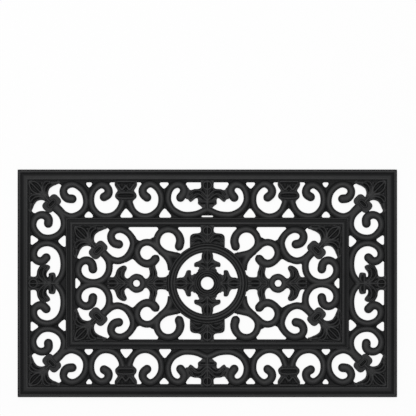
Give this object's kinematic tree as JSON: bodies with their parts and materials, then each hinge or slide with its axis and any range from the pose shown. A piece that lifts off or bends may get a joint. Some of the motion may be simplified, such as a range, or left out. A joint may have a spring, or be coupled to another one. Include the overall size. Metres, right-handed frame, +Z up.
{
  "type": "rubber door mat",
  "caption": "Openwork black rubber door mat: a moulded outer frame and an inner frame, with scrolls, leaves and a round medallion between bars.",
  "frame": {"origin": "middle of the mat, in the plane of the floor that the grip studs stand on", "axes": "+X along the long side, +Y along the short side towards the back, +Z up out of the patterned face"},
  "size_m": [0.75, 0.45, 0.01],
  "materials": {
    "rubber": "matt black moulded rubber with a fine grain and slightly shinier crowns"
  },
  "bodies": {
    "root": {"outer_frame": "rubber", "inner_frame": "rubber", "border_scroll_pair_back": "rubber", "border_scroll_pair_front": "rubber", "border_scroll_pair_right": "rubber", "border_scroll_pair_left": "rubber", "border_palmette_back": "rubber", "border_palmette_front": "rubber", "border_palmette_right": "rubber", "border_palmette_left": "rubber", "border_lyre_back_right": "rubber", "border_lyre_front_right": "rubber", "border_lyre_back_left": "rubber", "border_lyre_front_left": "rubber", "border_vase_back_right": "rubber", "border_vase_front_right": "rubber", "border_vase_back_left": "rubber", "border_vase_front_left": "rubber", "border_corner_scrolls_back_right": "rubber", "border_corner_scrolls_front_right": "rubber", "border_corner_scrolls_back_left": "rubber", "border_corner_scrolls_front_left": "rubber", "border_corner_leaf_back_right": "rubber", "border_corner_leaf_front_right": "rubber", "border_corner_leaf_back_left": "rubber", "border_corner_leaf_front_left": "rubber", "border_corner_clip_back_right": "rubber", "border_corner_clip_front_right": "rubber", "border_corner_clip_back_left": "rubber", "border_corner_clip_front_left": "rubber", "field_corner_scrolls_back_right": "rubber", "field_corner_scrolls_front_right": "rubber", "field_corner_scrolls_back_left": "rubber", "field_corner_scrolls_front_left": "rubber", "field_corner_leaf_back_right": "rubber", "field_corner_leaf_front_right": "rubber", "field_corner_leaf_back_left": "rubber", "field_corner_leaf_front_left": "rubber", "field_corner_clip_back_right": "rubber", "field_corner_clip_front_right": "rubber", "field_corner_clip_back_left": "rubber", "field_corner_clip_front_left": "rubber", "field_hooks_back_right": "rubber", "field_hooks_front_right": "rubber", "field_hooks_back_left": "rubber", "field_hooks_front_left": "rubber", "field_palmette_back": "rubber", "field_palmette_front": "rubber", "field_rosette_right": "rubber", "field_rosette_left": "rubber", "medallion_ring": "rubber", "medallion_boss": "rubber", "medallion_spray_back": "rubber", "medallion_spray_front": "rubber", "medallion_spray_right": "rubber", "medallion_spray_left": "rubber"}
  },
  "joints": []
}
